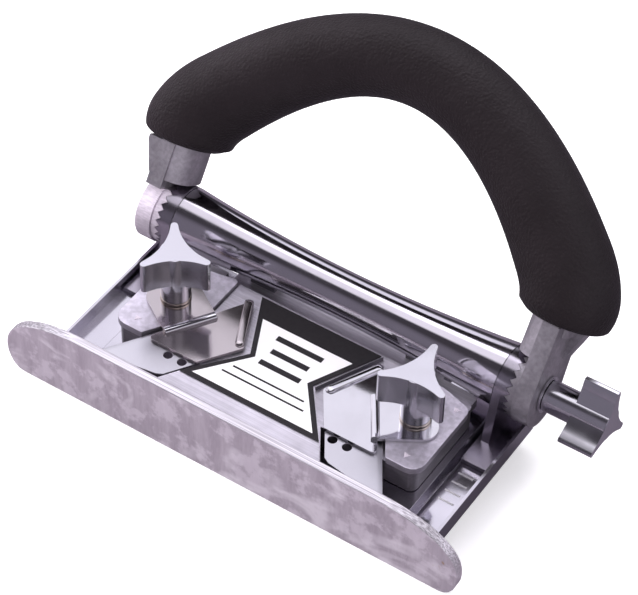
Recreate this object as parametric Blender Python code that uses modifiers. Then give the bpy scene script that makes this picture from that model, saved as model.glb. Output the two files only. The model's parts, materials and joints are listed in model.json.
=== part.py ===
"""Carpet wall trimmer: a hand tool that runs along a wall and trims carpet to it with two slotted blades.

Frame: +X to the right along the wall rail, +Y away from the wall, +Z up. The origin is on the ground, on the
tool's mirror plane, level with the two clamp studs. Lengths below are in millimetres and angles in degrees;
meshes are made in metres.
"""

import bpy
import bmesh
from math import atan2, cos, hypot, pi, radians, sin, sqrt, tan
from mathutils import Vector

MM = 0.001
GAP = 0.3
WELD = 0.00001

# Screws: the bores and taps that clear the larger and the smaller size
SCREW_RADIUS = 2.0
SCREW_BORE = 2.3
SMALL_SCREW_RADIUS = 1.5
SMALL_SCREW_BORE = 1.8

# Wall rail
RAIL_HALF_LENGTH = 127.0
RAIL_HEIGHT = 40.0
RAIL_BACK = -53.0
RAIL_THICKNESS = 5.0
RAIL_FLAT_TOP = 80.0
RAIL_END_DROP = 26.0
RAIL_FOOT_RADIUS = (9.0, 14.0)
RAIL_SCREW_X = 24.0
RAIL_SCREW_Z = 19.0

# Head casting, its deck and what stands on it
DECK_TOP = 28.0
DECK_BOTTOM = 15.0
DECK_FRONT = RAIL_BACK + 0.4
BODY_BOTTOM = 13.4
BODY_TOP = 26.1
POCKET_TOP = 23.0
WEB_TOP = 30.6
LABEL_RISE = 0.4
BLOCK_BOTTOM = BODY_TOP + GAP
BLOCK_TOP = 30.2
BLOCK_SCREWS = ((75.0, -14.0), (64.0, 16.0))
BAR_SCREW_X = 45.0
STUD_X = 68.06
STUD_RADIUS = 4.0
STUD_TOP = 57.0

# Blades lie along a line turned by EDGE_ANGLE; N runs out across that line and M back along it
EDGE_ANGLE = 57.3
EDGE_N = 42.0
BLADE_INNER_N = 15.5
BLADE_FRONT_M = -82.3
BLADE_BACK_M = -25.0
BLADE_BOTTOM = DECK_TOP + GAP
BLADE_THICKNESS = 0.6
HONE_WIDTH = 2.8
BLADE_HOLES = ((50.5, -31.0), (42.5, -31.0))
BLADE_HOLE_RADIUS = 2.4

# Blade clamps and their knobs; the raised wing of a clamp spans WING_N and WING_M
CLAMP_THICKNESS = 1.6
WING_N = (37.6, 68.0)
WING_M = (-50.5, -23.4)
CLAMP_BOTTOM = BLADE_BOTTOM + BLADE_THICKNESS + GAP
CLAMP_WING_BOTTOM = BLOCK_TOP + GAP
WASHER_BOTTOM = CLAMP_WING_BOTTOM + CLAMP_THICKNESS + GAP
WASHER_TOP = WASHER_BOTTOM + 1.6
KNOB_HUB_RADIUS = 7.4
KNOB_BORE_TOP = 61.4
STAR_BOTTOM = 46.0
STAR_TOP = 63.4
STAR_RADIUS = 19.0
STAR_TIP_HALF = 1.8
STAR_WAIST = 7.0
LEFT_STAR_TURN = 126.6
RIGHT_STAR_TURN = 98.0

# Pivot line of the handle, with the cross bar, the ears and the toothed clutches on it
PIVOT_Y = 43.8
PIVOT_Z = 36.0
BAR_HALF_LENGTH = 92.0
BAR_END_RADIUS = 16.4
BAR_WAIST_RADIUS = 11.7
BAR_BORE = 6.0
EAR_INNER = BAR_HALF_LENGTH + GAP
EAR_OUTER = 96.5
TEETH = 24
TOOTH_HEIGHT = 2.6
TOOTH_MIDDLE = 99.4
RING_INNER = 9.0
ROD_RADIUS = 5.0
DISC_RADIUS = 17.5
DISC_INNER = 103.3
DISC_OUTER = 112.0
JAW_FLAT = 12.0
JAW_TRAVEL = 3.5
KEY_HALF_WIDTH = 4.0
KEY_BOTTOM = 9.2
DOWEL_DROP = 12.0

# Handle: stations are given as half width against height above the pivot, in the handle's own plane
HANDLE_LEAN = 34.0
GRIP_FOOT = 36.0
GRIP_FOOT_X = 107.2
GRIP_STRAIGHT = 38.0
GRIP_SHOULDER = 64.0
GRIP_TOP = 117.0
GRIP_CURVE = 169.0
GRIP_TOP_RADIUS = 19.4
GRIP_SIDE_RADIUS = 23.6
GRIP_FOOT_TAPER = 3.2
GRIP_FOOT_ROUND = 10.0
CORE_RADIUS = 8.0
LEG_INNER = 94.0
LEG_FRONT = -17.2
LEG_BACK = 14.0
LEG_BOTTOM = 16.9
TENON_TOP = 45.0

# Side knob
SIDE_WASHER = (DISC_OUTER + GAP, DISC_OUTER + GAP + 1.2)
SHANK_RADIUS = 7.9
SIDE_STAR = (129.0, 146.5)
SIDE_STAR_TURN = 76.0

# Sliding base tray and its sole plate
TRAY_FRONT = -47.0
TRAY_BACK = 45.0
TRAY_HALF_WIDTH = 107.0
TRAY_FLOOR = 9.0
TRAY_PLATFORM = 12.8
TRAY_SHEET = 2.0
TRAY_PLATFORM_HALF = 87.5
TRAY_STEP_FOOT = 90.0
TRAY_WALL = 1.5
TRAY_WALL_TOP = 17.0
TRAY_TRAVEL = (-5.0, 12.0)
SOLE_HALF_WIDTH = 84.0
SOLE_TOP = TRAY_PLATFORM - TRAY_SHEET - GAP
LOCK_SCREW_X = 30.0
SOLE_SCREW_X = 60.0
MARK_PITCH = 6.0
MARK_COUNT = 4

PLANE_TURN = {"XY": (0, 0, 0), "XZ": (pi / 2, 0, 0), "YZ": (pi / 2, 0, pi / 2)}
NORMAL_INDEX = {"XY": 2, "XZ": 1, "YZ": 0}
AXIS_TURN = {"X": (0, pi / 2, 0), "Y": (-pi / 2, 0, 0), "Z": (0, 0, 0)}


# Scene and materials

def clear_scene():
    for obj in list(bpy.data.objects):
        bpy.data.objects.remove(obj)


def new_collection(name):
    collection = bpy.data.collections.new(name)
    bpy.context.scene.collection.children.link(collection)
    return collection


def new_material(name, colour, metallic, roughness):
    material = bpy.data.materials.new(name)
    material.use_nodes = True
    shader = material.node_tree.nodes["Principled BSDF"]
    shader.inputs["Base Color"].default_value = (*colour, 1.0)
    shader.inputs["Metallic"].default_value = metallic
    shader.inputs["Roughness"].default_value = roughness
    return material


clear_scene()
PARTS = new_collection("wall_trimmer")
TOOLS = new_collection("cutters")
CAST = new_material("cast_aluminium", (0.72, 0.70, 0.74), 1.0, 0.35)
CHROME = new_material("chrome", (0.78, 0.77, 0.80), 1.0, 0.12)
RAIL = new_material("rail_steel", (0.55, 0.52, 0.58), 0.6, 0.55)
BLADE = new_material("blade_steel", (0.62, 0.62, 0.65), 1.0, 0.25)
STEEL = new_material("fastener_steel", (0.45, 0.44, 0.46), 1.0, 0.4)
RUBBER = new_material("grip_rubber", (0.02, 0.018, 0.02), 0.0, 0.5)
LABEL = new_material("label_face", (0.85, 0.84, 0.86), 0.0, 0.35)


# Outlines

def arc(cx, cy, radius, start, end, count):
    """Points on a circle from one angle to another, both ends included."""
    turns = [radians(start + (end - start) * i / (count - 1)) for i in range(count)]
    return [(cx + radius * cos(t), cy + radius * sin(t)) for t in turns]


def circle(cx, cy, radius, count=20):
    return arc(cx, cy, radius, 0, 360 - 360 / count, count)


def rounded(corners, count=5):
    """A polygon of (x, y, radius) corners, each rounded by its radius."""
    points = []
    for i, (x, y, radius) in enumerate(corners):
        if not radius:
            points.append((x, y))
            continue
        here = Vector((x, y))
        before = (Vector(corners[i - 1][:2]) - here).normalized()
        after = (Vector(corners[(i + 1) % len(corners)][:2]) - here).normalized()
        half = before.angle(after) / 2
        centre = here + (before + after).normalized() * radius / sin(half)
        start = here + before * radius / tan(half) - centre
        end = here + after * radius / tan(half) - centre
        sweep = start.angle_signed(end)
        for k in range(count):
            turn = -sweep * k / (count - 1)
            points.append((centre.x + start.x * cos(turn) - start.y * sin(turn),
                           centre.y + start.x * sin(turn) + start.y * cos(turn)))
    return points


def mirror_outline(half):
    """The +X half of an outline, completed by its mirror image at -X."""
    return half + [(-x, y) for x, y in reversed(half)]


def edge_point(n, m):
    """The XY place of a point given across (n) and along (m) the right blade's edge line."""
    turn = radians(EDGE_ANGLE)
    return (n * sin(turn) - m * cos(turn), n * cos(turn) + m * sin(turn))


def star_outline(turn):
    """A three-lobed knob outline: rounded tips joined by hollow circular sides."""
    tip_centre = STAR_RADIUS - STAR_TIP_HALF
    points = []
    for lobe in range(3):
        angle = radians(turn + 120 * lobe)
        out = Vector((cos(angle), sin(angle)))
        across = Vector((-sin(angle), cos(angle)))
        for k in range(5):
            swing = radians(-90 + 45 * k)
            p = out * (tip_centre + STAR_TIP_HALF * cos(swing)) + across * STAR_TIP_HALF * sin(swing)
            points.append((p.x, p.y))
        middle = radians(turn + 120 * lobe + 60)
        axis = Vector((cos(middle), sin(middle)))
        side = Vector((-sin(middle), cos(middle)))
        corner = out * tip_centre + across * STAR_TIP_HALF
        reach, half = corner.dot(axis), -corner.dot(side)
        radius = ((reach - STAR_WAIST) ** 2 + half ** 2) / (2 * (reach - STAR_WAIST))
        centre = axis * (STAR_WAIST + radius)
        swing = atan2(half, STAR_WAIST + radius - reach)
        for k in range(1, 10):
            t = swing * (1 - k / 5)
            p = centre - axis * radius * cos(t) - side * radius * sin(t)
            points.append((p.x, p.y))
    return points


# Solids

def add_object(name, mesh, material=None, parent=None):
    """A new object: a part when it has a material, and a hidden cutter or joining shape when it has none."""
    obj = bpy.data.objects.new(name, mesh)
    if material:
        mesh.materials.append(material)
        PARTS.objects.link(obj)
    else:
        TOOLS.objects.link(obj)
        obj.hide_render = True
        obj.display_type = "WIRE"
    obj.parent = parent
    return obj


def weld(mesh):
    work = bmesh.new()
    work.from_mesh(mesh)
    bmesh.ops.remove_doubles(work, verts=work.verts, dist=WELD)
    bmesh.ops.recalc_face_normals(work, faces=work.faces)
    work.to_mesh(mesh)
    work.free()


def curve_mesh(curve):
    """The welded mesh that a curve makes; the curve is removed."""
    holder = bpy.data.objects.new("curve", curve)
    TOOLS.objects.link(holder)
    graph = bpy.context.evaluated_depsgraph_get()
    mesh = bpy.data.meshes.new_from_object(holder.evaluated_get(graph))
    bpy.data.objects.remove(holder)
    bpy.data.curves.remove(curve)
    mesh.materials.clear()
    weld(mesh)
    return mesh


def plate(name, outline, low, high, plane="XY", material=None, parent=None, holes=()):
    """A flat outline with holes, given thickness from low to high along the plane's normal."""
    curve = bpy.data.curves.new(name, "CURVE")
    curve.dimensions = "2D"
    curve.fill_mode = "BOTH"
    curve.extrude = (high - low) / 2 * MM
    for loop in (outline, *holes):
        spline = curve.splines.new("POLY")
        spline.points.add(len(loop) - 1)
        spline.use_cyclic_u = True
        for point, (u, v) in zip(spline.points, loop):
            point.co = (u * MM, v * MM, 0, 1)
    obj = add_object(name, curve_mesh(curve), material, parent)
    obj.rotation_euler = PLANE_TURN[plane]
    obj.location[NORMAL_INDEX[plane]] = (low + high) / 2 * MM
    return obj


def turned(name, profile, axis, at, steps, bored=False, material=None, parent=None):
    """A profile of (radius, height) turned about an axis; it runs down its outer side."""
    mesh = bpy.data.meshes.new(name)
    edges = [(i, i + 1) for i in range(len(profile) - 1)]
    if bored:
        edges.append((len(profile) - 1, 0))
    mesh.from_pydata([(r * MM, 0, h * MM) for r, h in profile], edges, [])
    obj = add_object(name, mesh, material, parent)
    obj.rotation_euler = AXIS_TURN[axis]
    obj.location = Vector(at) * MM
    screw = obj.modifiers.new("turn", "SCREW")
    screw.steps = steps
    screw.render_steps = steps
    screw.use_merge_vertices = True
    screw.merge_threshold = WELD
    return obj


def cylinder(name, radius, low, high, axis, at, sides=24, material=None, parent=None):
    """A plain cylinder from low to high along its axis."""
    work = bmesh.new()
    bmesh.ops.create_cone(work, cap_ends=True, segments=sides, radius1=radius * MM, radius2=radius * MM,
                          depth=(high - low) * MM)
    mesh = bpy.data.meshes.new(name)
    bmesh.ops.translate(work, verts=work.verts, vec=(0, 0, (low + high) / 2 * MM))
    work.to_mesh(mesh)
    work.free()
    obj = add_object(name, mesh, material, parent)
    obj.rotation_euler = AXIS_TURN[axis]
    obj.location = Vector(at) * MM
    return obj


def block(name, x, y, z, material=None, parent=None):
    """A box between two values on each axis."""
    work = bmesh.new()
    bmesh.ops.create_cube(work, size=1.0)
    size = Vector((x[1] - x[0], y[1] - y[0], z[1] - z[0])) * MM
    bmesh.ops.scale(work, verts=work.verts, vec=size)
    mesh = bpy.data.meshes.new(name)
    work.to_mesh(mesh)
    work.free()
    obj = add_object(name, mesh, material, parent)
    obj.location = Vector((sum(x), sum(y), sum(z))) * MM / 2
    return obj


def combine(target, operation, *others):
    for other in others:
        boolean = target.modifiers.new(operation.lower(), "BOOLEAN")
        boolean.operation = operation
        boolean.solver = "EXACT"
        boolean.object = other
    return target


def join(target, *others):
    return combine(target, "UNION", *others)


def cut(target, *others):
    return combine(target, "DIFFERENCE", *others)


def world_mesh(obj):
    """The evaluated mesh of an object, in world space."""
    bpy.context.view_layer.update()
    graph = bpy.context.evaluated_depsgraph_get()
    shown = obj.evaluated_get(graph)
    mesh = bpy.data.meshes.new_from_object(shown)
    mesh.transform(shown.matrix_world)
    return mesh


def mirrored(source, name):
    """The left-hand copy of a right-hand part."""
    mesh = world_mesh(source)
    for vertex in mesh.vertices:
        vertex.co.x = -vertex.co.x
    mesh.flip_normals()
    mesh.name = name
    obj = bpy.data.objects.new(name, mesh)
    PARTS.objects.link(obj)
    return obj


def hang(parent_name, at, *objs):
    """Parents finished parts to an empty on their joint's axis, without moving them."""
    empty = bpy.data.objects.new(parent_name, None)
    PARTS.objects.link(empty)
    empty.location = Vector(at) * MM
    bpy.context.view_layer.update()
    for obj in objs:
        obj.parent = empty
        obj.matrix_parent_inverse = empty.matrix_world.inverted()
    return empty


# Wall rail

def rail_outline():
    """Half outline of the rail: a level foot with elliptical corners and a longer drop at the top ends."""
    foot_x, foot_z = RAIL_FOOT_RADIUS
    half = []
    for k in range(6):
        t = radians(-90 + 18 * k)
        half.append((RAIL_HALF_LENGTH - foot_x + foot_x * cos(t), foot_z + foot_z * sin(t)))
    reach = RAIL_HALF_LENGTH - RAIL_FLAT_TOP
    for k in range(1, 13):
        t = radians(7.5 * k)
        half.append((RAIL_FLAT_TOP + reach * cos(t) ** 0.88,
                     RAIL_HEIGHT - RAIL_END_DROP + RAIL_END_DROP * sin(t) ** 0.88 if k < 12 else RAIL_HEIGHT))
    return mirror_outline(half)


def make_rail():
    rail = plate("wall_rail", rail_outline(), RAIL_BACK - RAIL_THICKNESS, RAIL_BACK, "XZ", RAIL)
    for side in (-1, 1):
        at = (side * RAIL_SCREW_X, RAIL_BACK - 3, RAIL_SCREW_Z)
        cut(rail, cylinder("rail_tap", SCREW_BORE, 0, 3.4, "Y", at, 16))


# Head casting

def web_half():
    """Half outline of the raised web that carries the label."""
    return [(49.0, -52.2), (40.0, -38.0), (18.8, -9.8), (34.9, 24.6)]


def edge_x(n, y):
    """Where the line at distance n from the blade's edge line crosses a given y, on the right."""
    return (n - y * cos(radians(EDGE_ANGLE))) / sin(radians(EDGE_ANGLE))


def deck_half():
    """Half outline of the deck: a tapered apron by the rail, then wings cut along the edge line."""
    waist = edge_x(EDGE_N + 0.3, 1.2)
    return [(49.8, DECK_FRONT), (33.2, -26.8), (edge_x(EDGE_N + 0.3, -27.2), -27.2), (waist, 1.2),
            (waist, 27.5)]


def make_head_casting():
    body = rounded([(-84, -26, 4), (84, -26, 4), (84, 27, 4), (-84, 27, 4)])
    casting = plate("head_casting", body, BODY_BOTTOM, BODY_TOP, material=CAST)
    join(casting,
         plate("deck", mirror_outline(deck_half()), DECK_BOTTOM, DECK_TOP),
         plate("web", mirror_outline(web_half()), DECK_TOP - 2, WEB_TOP),
         block("saddle", (-60, 60), (24, 50), (BODY_BOTTOM + 0.2, 17.8)))
    for side in (-1, 1):
        x = side * BAR_SCREW_X
        join(casting, block("cradle", (x - 7, x + 7), (PIVOT_Y - 3.5, PIVOT_Y + 6), (16, 28)))
    cut(casting,
        turned("bar_seat", bar_profile(GAP, 0), "X", (0, PIVOT_Y, PIVOT_Z), 40),
        plate("pocket", rounded([(-78, -21, 3), (78, -21, 3), (78, 22, 3), (-78, 22, 3)]), 5, POCKET_TOP))
    for side in (-1, 1):
        lock, rail, bar = side * LOCK_SCREW_X, side * RAIL_SCREW_X, side * BAR_SCREW_X
        join(casting, cylinder("lock_boss", 6, BODY_BOTTOM + 0.1, POCKET_TOP + 1, "Z", (lock, 0, 0)))
        cut(casting,
            cylinder("lock_bore", SCREW_BORE, 5, 21, "Z", (lock, 0, 0), 16),
            cylinder("rail_bore", SCREW_BORE, -60, -15, "Y", (rail, 0, RAIL_SCREW_Z), 16),
            cylinder("bar_bore", SCREW_BORE, 5, 30, "Z", (bar, PIVOT_Y, 0), 16),
            cylinder("bar_head_seat", 3.6, 5, 16.3, "Z", (bar, PIVOT_Y, 0), 20),
            cylinder("stud_bore", STUD_RADIUS + GAP, 20, 30, "Z", (side * STUD_X, 0, 0), 20))
        for x, y in BLOCK_SCREWS:
            cut(casting, cylinder("block_bore", SMALL_SCREW_BORE, 20, 30, "Z", (side * x, y, 0), 12))


def make_label():
    outline = [(-39.2, -37.4), (39.2, -37.4), (17.8, -10.0), (34.2, 24.0), (-34.2, 24.0), (-17.8, -10.0)]
    plate("label_plate", outline, WEB_TOP + GAP, WEB_TOP + GAP + LABEL_RISE, material=LABEL)


def make_head_blocks():
    inner_n = EDGE_N + 1.3
    outline = rounded([(edge_x(inner_n, -27.2), -27.2, 0), (86.2, -27.2, 7), (86.2, 19.8, 5), (72, 24, 6),
                       (50, 28, 2), (edge_x(inner_n, 2.3), 2.3, 0)])
    right = plate("head_block_right", outline, BLOCK_BOTTOM, BLOCK_TOP, material=CAST,
                  holes=[circle(STUD_X, 0, STUD_RADIUS + GAP)])
    for x, y in BLOCK_SCREWS:
        cut(right, cylinder("block_tap", SMALL_SCREW_BORE, 20, 29.2, "Z", (x, y, 0), 12))
    mirrored(right, "head_block_left")


def make_studs():
    profile = [(0, STUD_TOP), (3.2, STUD_TOP), (STUD_RADIUS, STUD_TOP - 1), (STUD_RADIUS, 22.7), (6.5, 22.7),
               (6.5, 19.5), (0, 19.5)]
    right = turned("stud_right", profile, "Z", (STUD_X, 0, 0), 20, material=STEEL)
    mirrored(right, "stud_left")


def screw(name, at, axis, tip, shank_end, head_end, radius, head_radius, socket):
    """A socket screw along an axis, from its tip to its head; the socket opens at the head's end."""
    points = [(0, tip), (radius, tip), (radius, shank_end), (head_radius, shank_end), (head_radius, head_end),
              (0, head_end)]
    if tip < head_end:
        points.reverse()
    piece = turned(name, points, axis, at, 16, material=STEEL)
    inward = 1.6 if tip > head_end else -1.6
    low, high = sorted((head_end - inward, head_end + inward))
    return cut(piece, cylinder(name + "_socket", socket, low, high, axis, at, 6))


def make_head_screws():
    for side, word in ((-1, "left"), (1, "right")):
        screw("rail_screw_" + word, (side * RAIL_SCREW_X, 0, RAIL_SCREW_Z), "Y", -55.6, -20.7, -17.5,
              SCREW_RADIUS, 3.4, 1.7)
        screw("bar_screw_" + word, (side * BAR_SCREW_X, PIVOT_Y, 0), "Z", 27.5, 16.0, 13.9,
              SCREW_RADIUS, 3.2, 1.5)
        for index, (x, y) in enumerate(BLOCK_SCREWS):
            name = "block_screw_%s_%s" % (word, "front" if index == 0 else "back")
            screw(name, (side * x, y, 0), "Z", 28.8, 22.7, 20.4, SMALL_SCREW_RADIUS, 2.8, 1.3)


# Blades and clamps

def make_blades():
    front_n, front_m = 17.2, -63.0
    corners = [(EDGE_N, BLADE_FRONT_M), (EDGE_N, BLADE_BACK_M), (BLADE_INNER_N, BLADE_BACK_M),
               (BLADE_INNER_N, front_m + 3.0), (front_n, front_m)]
    right = plate("blade_right", [edge_point(n, m) for n, m in corners], BLADE_BOTTOM,
                  BLADE_BOTTOM + BLADE_THICKNESS, material=BLADE,
                  holes=[circle(x, y, BLADE_HOLE_RADIUS, 16) for x, y in BLADE_HOLES])
    turn = radians(EDGE_ANGLE)
    across = Vector((sin(turn), cos(turn), 0))
    for vertex in right.data.vertices:
        if vertex.co.z > 0 and vertex.co.dot(across) > (EDGE_N - 0.1) * MM:
            vertex.co -= across * HONE_WIDTH * MM
    mirrored(right, "blade_left")


def make_clamps():
    pad = rounded([(65, -28.5, 2), (36, -28.5, 1.5), (22.6, -8.5, 1.5), (36.2, 20.5, 1)])
    near, far = WING_N
    front, back = WING_M
    wing = rounded([(*edge_point(near, front), 0), (*edge_point(far, front), 8), (*edge_point(far, back), 8),
                    (*edge_point(near, back), 0)], 7)
    riser = [edge_point(n, m) for n, m in ((near - 0.2, front - 0.2), (near + 1.9, front - 0.2),
                                           (near + 1.9, back + 0.2), (near - 0.2, back + 0.2))]
    hole = circle(STUD_X, 0, STUD_RADIUS + GAP)
    right = plate("clamp_right", pad, CLAMP_BOTTOM, CLAMP_BOTTOM + CLAMP_THICKNESS, material=CHROME)
    join(right,
         plate("clamp_riser", riser, CLAMP_BOTTOM + 0.1, CLAMP_WING_BOTTOM + CLAMP_THICKNESS - 0.1),
         plate("clamp_wing", wing, CLAMP_WING_BOTTOM, CLAMP_WING_BOTTOM + CLAMP_THICKNESS, holes=[hole]))
    left = mirrored(right, "clamp_left")
    profile = [(7.6, WASHER_TOP), (7.6, WASHER_BOTTOM), (STUD_RADIUS + GAP, WASHER_BOTTOM),
               (STUD_RADIUS + GAP, WASHER_TOP)]
    washer = turned("knob_washer_right", profile, "Z", (STUD_X, 0, 0), 28, bored=True, material=STEEL)
    washer_left = mirrored(washer, "knob_washer_left")
    hang("clamp_right_lift", (STUD_X, 0, CLAMP_BOTTOM), right, washer)
    hang("clamp_left_lift", (-STUD_X, 0, CLAMP_BOTTOM), left, washer_left)


def make_clamp_knob(name, x, turn):
    """A three-lobed star on a round hub, with a blind bore for the stud."""
    bottom, bore = WASHER_TOP + GAP, STUD_RADIUS + GAP
    hub = [(0, STAR_TOP - 0.2), (KNOB_HUB_RADIUS, STAR_TOP - 0.2), (KNOB_HUB_RADIUS, bottom), (0, bottom)]
    knob = plate(name, star_outline(turn), STAR_BOTTOM, STAR_TOP, material=CHROME)
    knob.location.x = x * MM
    join(knob, turned(name + "_hub", hub, "Z", (x, 0, 0), 28))
    cut(knob, cylinder(name + "_bore", bore, bottom - 5, KNOB_BORE_TOP, "Z", (x, 0, 0), 20))
    hang(name + "_axis", (x, 0, STAR_BOTTOM), knob)


# Pivot line

def bar_profile(grow, bore):
    """Hourglass profile of the cross bar, from one end to the other, with an optional bore."""
    stations = 14
    points = []
    for k in range(stations + 1):
        h = BAR_HALF_LENGTH * (1 - 2 * k / stations)
        u = abs(h) / BAR_HALF_LENGTH
        points.append((BAR_WAIST_RADIUS + (BAR_END_RADIUS - BAR_WAIST_RADIUS) * u ** 2 + grow, h))
    if bore:
        return points + [(bore, -BAR_HALF_LENGTH), (bore, BAR_HALF_LENGTH)]
    return [(0, BAR_HALF_LENGTH)] + points + [(0, -BAR_HALF_LENGTH)]


def make_cross_bar():
    bar = turned("cross_bar", bar_profile(0, BAR_BORE), "X", (0, PIVOT_Y, PIVOT_Z), 40, bored=True,
                 material=CHROME)
    for side in (-1, 1):
        cut(bar, cylinder("bar_tap", SCREW_BORE, 15, 28.3, "Z", (side * BAR_SCREW_X, PIVOT_Y, 0), 16))
        dowel = (0, PIVOT_Y, PIVOT_Z - DOWEL_DROP)
        low, high = sorted((side * (86.3 - GAP), side * 95))
        cut(bar, cylinder("dowel_seat", SMALL_SCREW_BORE, low, high, "X", dowel, 12))
        low, high = sorted((side * 86.3, side * 95))
        word = "left" if side < 0 else "right"
        cylinder("ear_dowel_" + word, SMALL_SCREW_RADIUS, low, high, "X", dowel, 12, STEEL)


def clutch_ring(name, base, middle, parent=None):
    """A ring whose face is cut into radial teeth; every tooth flank is a plane through the pivot line."""
    profile = [(BAR_END_RADIUS, base), (RING_INNER, base), (RING_INNER, middle), (BAR_END_RADIUS, middle)]
    if middle > base:
        profile.reverse()
    ring = turned(name, profile, "X", (0, PIVOT_Y, PIVOT_Z), 2 * TEETH, bored=True)
    bpy.context.view_layer.update()
    shown = ring.evaluated_get(bpy.context.evaluated_depsgraph_get())
    mesh = bpy.data.meshes.new_from_object(shown)
    weld(mesh)
    for vertex in mesh.vertices:
        if abs(vertex.co.z - middle * MM) < WELD:
            radius = hypot(vertex.co.x, vertex.co.y)
            step = round(atan2(vertex.co.y, vertex.co.x) * TEETH / pi)
            lift = TOOTH_HEIGHT / 2 * radius / BAR_END_RADIUS * (1 if middle > 0 else -1)
            vertex.co.z += lift if step % 2 else -lift
    ring.modifiers.clear()
    ring.data = mesh
    return ring


def make_ears():
    foot_front, foot_back, foot_low, foot_high = 6.2, 46.0, TRAY_FLOOR + GAP, 11.8
    front_foot = (20.3, foot_low + 0.2)
    reach = hypot(PIVOT_Y - front_foot[0], PIVOT_Z - front_foot[1])
    toward = atan2(front_foot[1] - PIVOT_Z, front_foot[0] - PIVOT_Y)
    touch = (toward - (pi / 2 - atan2(BAR_END_RADIUS, sqrt(reach ** 2 - BAR_END_RADIUS ** 2)))) * 180 / pi
    outline = [front_foot, (foot_back - 0.2, foot_low + 0.2), (PIVOT_Y + BAR_END_RADIUS, 24)]
    outline += arc(PIVOT_Y, PIVOT_Z, BAR_END_RADIUS, 0, touch + 360, 22)
    right = plate("ear_right", outline, EAR_INNER, EAR_OUTER, "YZ", CHROME)
    join(right,
         block("foot", (TRAY_STEP_FOOT + 0.4, 104.5), (foot_front, foot_back), (foot_low, foot_high)),
         clutch_ring("ear_ring", EAR_OUTER - 0.5, TOOTH_MIDDLE))
    cut(right,
        cylinder("ear_bore", ROD_RADIUS + GAP, 85, 105, "X", (0, PIVOT_Y, PIVOT_Z)),
        cylinder("ear_dowel_hole", SMALL_SCREW_BORE, 90, 95.4, "X", (0, PIVOT_Y, PIVOT_Z - DOWEL_DROP), 12))
    mirrored(right, "ear_left")


# Handle

def grip_half_width(height):
    """Half width of the handle's centreline at a height: a gentle curve in, then a parabola over the top."""
    if height > GRIP_SHOULDER:
        return sqrt(GRIP_CURVE * (GRIP_TOP - height))
    drawn_in = GRIP_FOOT_X - sqrt(GRIP_CURVE * (GRIP_TOP - GRIP_SHOULDER))
    bent = max(height - GRIP_STRAIGHT, 0) / (GRIP_SHOULDER - GRIP_STRAIGHT)
    return GRIP_FOOT_X - drawn_in * bent ** 2


def handle_line(foot):
    """Stations (half width, height) of the right half, from the foot to the top."""
    line = [(grip_half_width(h), h) for h in (foot, GRIP_STRAIGHT, 41, 46, 52, 58, GRIP_SHOULDER)]
    line += [(x, GRIP_TOP - x ** 2 / GRIP_CURVE) for x in (87, 78, 66, 52, 36, 18)]
    return line


def handle_tube(name, foot, radius_at, sides, material=None, parent=None):
    """A tube along the handle's centreline whose radius follows the station."""
    right = handle_line(foot)
    line = [(-x, h) for x, h in right] + [(0, GRIP_TOP)] + right[::-1]
    curve = bpy.data.curves.new(name, "CURVE")
    curve.dimensions = "3D"
    curve.bevel_depth = MM
    curve.bevel_resolution = sides
    curve.use_fill_caps = True
    spline = curve.splines.new("POLY")
    spline.points.add(len(line) - 1)
    for point, (x, h) in zip(spline.points, line):
        point.co = (x * MM, 0, h * MM, 1)
        point.radius = radius_at(x, h)
    return add_object(name, curve_mesh(curve), material, parent)


def grip_radius(x, height):
    side = abs(x) / GRIP_FOOT_X
    full = GRIP_TOP_RADIUS + (GRIP_SIDE_RADIUS - GRIP_TOP_RADIUS) * side ** 2
    above_foot = max(height - GRIP_FOOT, 0)
    return full - GRIP_FOOT_TAPER * max(1 - above_foot / GRIP_FOOT_ROUND, 0) ** 2


def leg_parts(side, parent):
    """Post, band, flare, rib and tenon of one leg, in the handle's own upright frame."""
    def span(a, b):
        return sorted((side * a, side * b))

    post = rounded([(side * LEG_INNER, LEG_FRONT + 0.4, 12), (side * 111.4, LEG_FRONT + 0.4, 1.5),
                    (side * 111.4, LEG_BACK, 1.5), (side * LEG_INNER, LEG_BACK, 12)], 7)
    flare = [(side * x, h) for x, h in ((109, 18), (112.8, 18), (118.6, 33), (118.6, 35.2), (109, 35.2))]
    flare_front = 3.5 if side > 0 else LEG_FRONT + 0.8
    rib = [(8, 22.4), (14.6, 21.6), (20, 33), (20, 35.2), (8, 35.2)]
    return [plate("post", post, LEG_BOTTOM, GRIP_FOOT - GAP, parent=parent),
            plate("flare", flare, flare_front, 12.8, "XZ", parent=parent),
            plate("rib", rib, *span(102, 111), "YZ", parent=parent),
            plate("tenon", tenon_outline(side, 0), 30, TENON_TOP, parent=parent)]


def tenon_outline(side, grow):
    """Plan of the tenon that enters the foot of the grip."""
    near, far, half = side * (98 - grow), side * (114 + grow), 10 + grow
    return rounded([(near, -half, 4), (far, -half, 4), (far, half, 4), (near, half, 4)])


def band_outline(full):
    """Side view of a leg's outer band; the full one carries on down into a round boss."""
    top = [(LEG_BACK + 0.4, 26), (LEG_BACK + 0.4, 35.4), (LEG_FRONT, 35.4)]
    if full:
        return top + arc(0, 0, DISC_RADIUS, 178, 368, 26)
    return top + [(LEG_FRONT, JAW_FLAT + GAP), (sqrt(DISC_RADIUS ** 2 - JAW_FLAT ** 2), JAW_FLAT + GAP)]


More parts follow.
